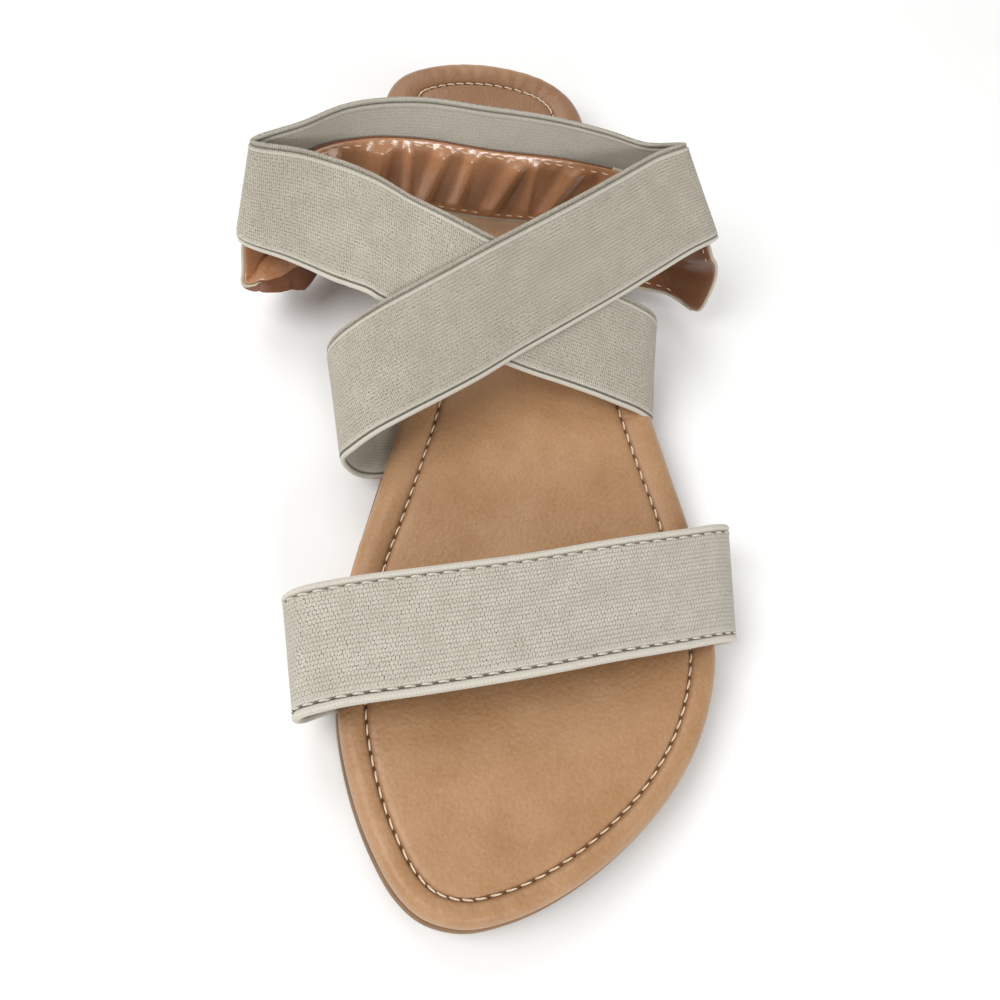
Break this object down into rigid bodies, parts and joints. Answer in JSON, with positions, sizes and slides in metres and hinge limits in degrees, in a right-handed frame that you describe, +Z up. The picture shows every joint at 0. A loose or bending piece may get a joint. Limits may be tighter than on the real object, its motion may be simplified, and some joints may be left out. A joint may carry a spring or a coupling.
{
  "type": "strappy flat sandal",
  "caption": "Flat sandal with a padded footbed, a toe strap, a crossed elastic strap round the ankle and a leather heel sling.",
  "frame": {"origin": "on the floor, under the middle of the whole sandal's box", "axes": "+Y towards the heel, +X towards the little-toe side, +Z up from the floor"},
  "size_m": [0.1298, 0.2534, 0.0514],
  "materials": {
    "outsole_rubber": "matt moulded rubber, tan brown",
    "footbed_leather": "fine-grained tan synthetic leather, soft gloss",
    "toe_webbing": "beige woven elastic with topstitched edges",
    "ankle_elastic": "beige ribbed elastic with corded edges",
    "sling_leather": "glossy tan synthetic leather, gathered"
  },
  "bodies": {
    "root": {"outsole": "outsole_rubber", "footbed": "footbed_leather", "toe_strap": "toe_webbing", "ankle_strap": "ankle_elastic", "heel_sling": "sling_leather"}
  },
  "joints": []
}
